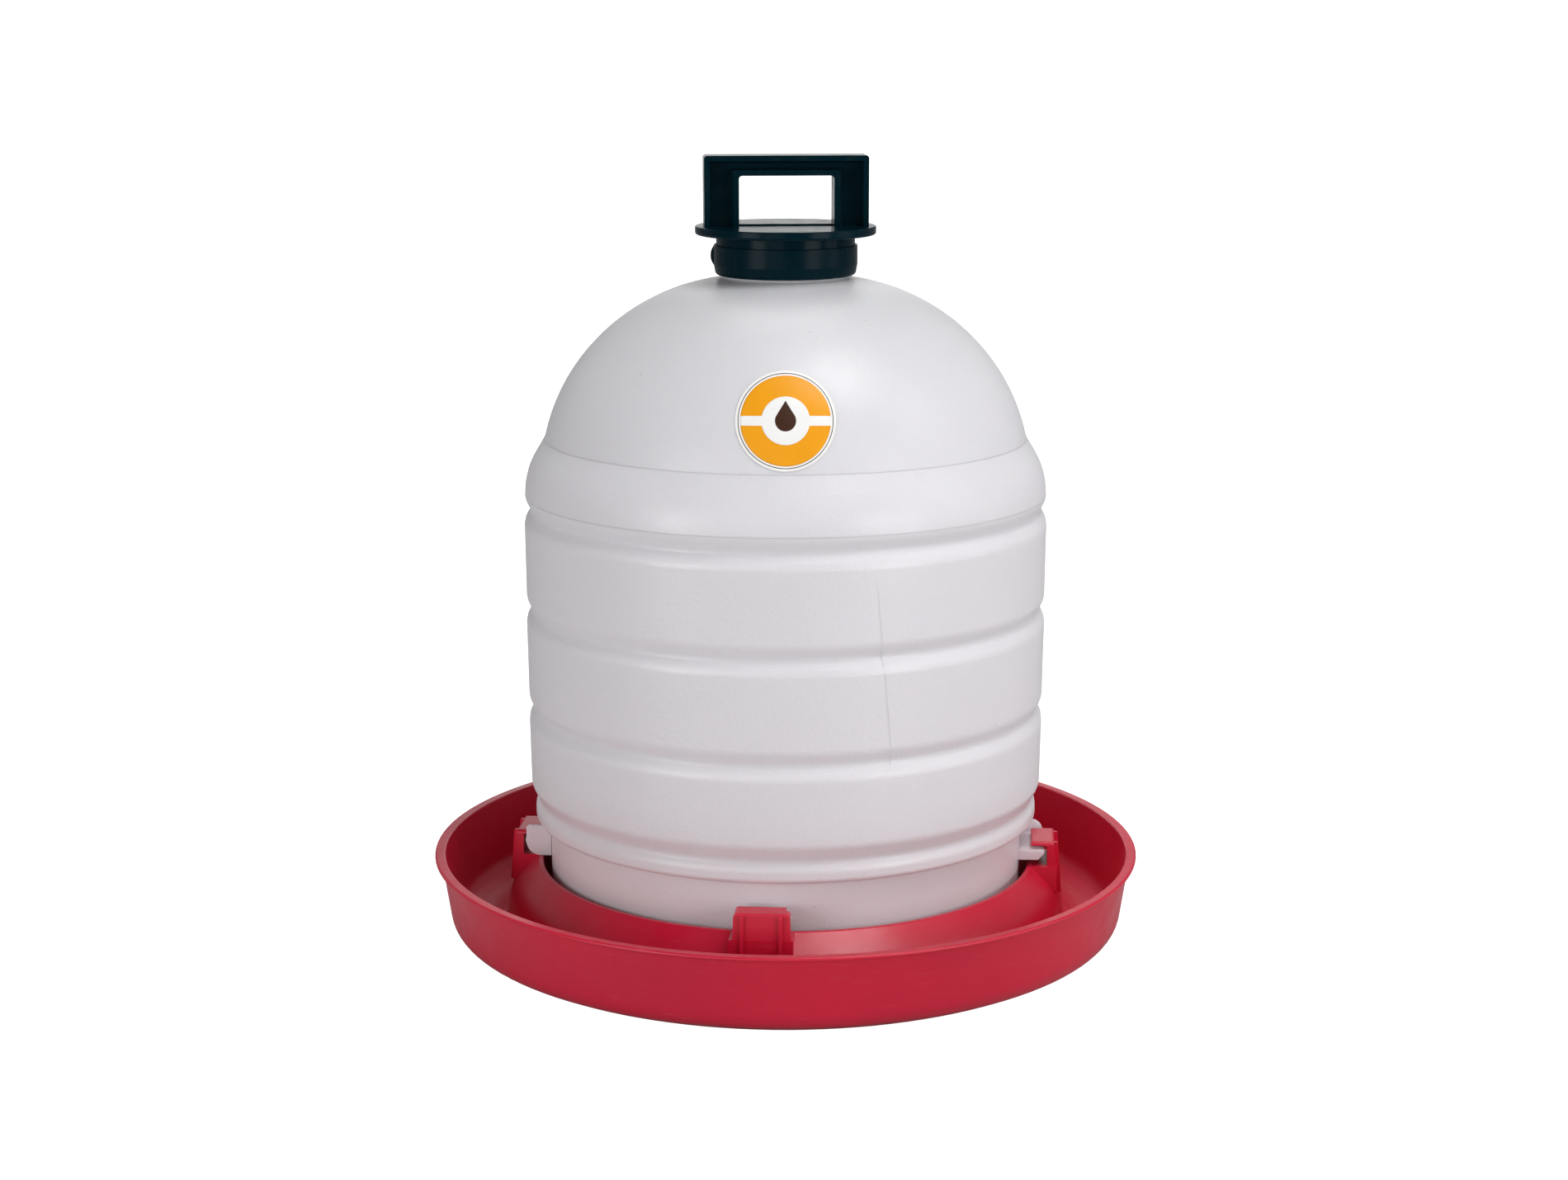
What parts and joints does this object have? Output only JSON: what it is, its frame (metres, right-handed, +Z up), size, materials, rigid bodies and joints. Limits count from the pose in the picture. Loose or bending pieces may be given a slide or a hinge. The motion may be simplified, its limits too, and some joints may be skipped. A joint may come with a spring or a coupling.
{
  "type": "poultry waterer fount",
  "caption": "Ribbed siphon water tank locked by four hooks in a round drinking tray, with a handled filler cap on its dome and a turn-to-shut outlet valve.",
  "frame": {"origin": "centre of the tray's underside, on the floor, on the axis of the tank", "axes": "+Z up along the tank's axis; -Y is the front, where the label faces; +X is to the right seen from the front"},
  "size_m": [0.46, 0.46, 0.5049],
  "materials": {
    "tray_red": "moulded red polypropylene, satin",
    "tank_white": "milky translucent polyethylene, faint orange peel",
    "label": "printed vinyl sticker",
    "collar_black": "moulded dark green-black polypropylene",
    "cap_black": "moulded dark green-black polypropylene, satin gloss",
    "seal_rubber": "soft rubber",
    "valve_plastic": "moulded grey plastic",
    "spring_steel": "stainless spring wire"
  },
  "bodies": {
    "tray": {"drinking_tray": "tray_red"},
    "tank": {"water_tank": "tank_white", "round_label": "label", "neck_collar": "collar_black", "valve_body": "valve_plastic", "valve_gasket": "seal_rubber", "valve_nut": "valve_plastic", "valve_spring": "spring_steel"},
    "cap": {"filler_cap": "cap_black", "cap_gasket": "seal_rubber"},
    "valve": {"valve_stem": "valve_plastic", "valve_seal": "seal_rubber", "valve_clip": "spring_steel"}
  },
  "joints": [
    {"name": "tank_turn", "type": "hinge", "parent": "tray", "child": "tank", "pos_m": [0, 0, 0], "axis": [0, 0, 1], "range_deg": [0, 15]},
    {"name": "cap_turn", "type": "hinge", "parent": "tank", "child": "cap", "pos_m": [0, 0, 0.45], "axis": [0, 0, 1], "range_deg": [0, 90]},
    {"name": "valve_drop", "type": "slide", "parent": "tank", "child": "valve", "axis": [0, 0, 1], "range_m": [-0.004, 0], "deforming": ["valve_spring"]}
  ],
  "couplings": [
    {"joint": "valve_drop", "follows": "tank_turn", "m_per_rad": -0.01527}
  ]
}
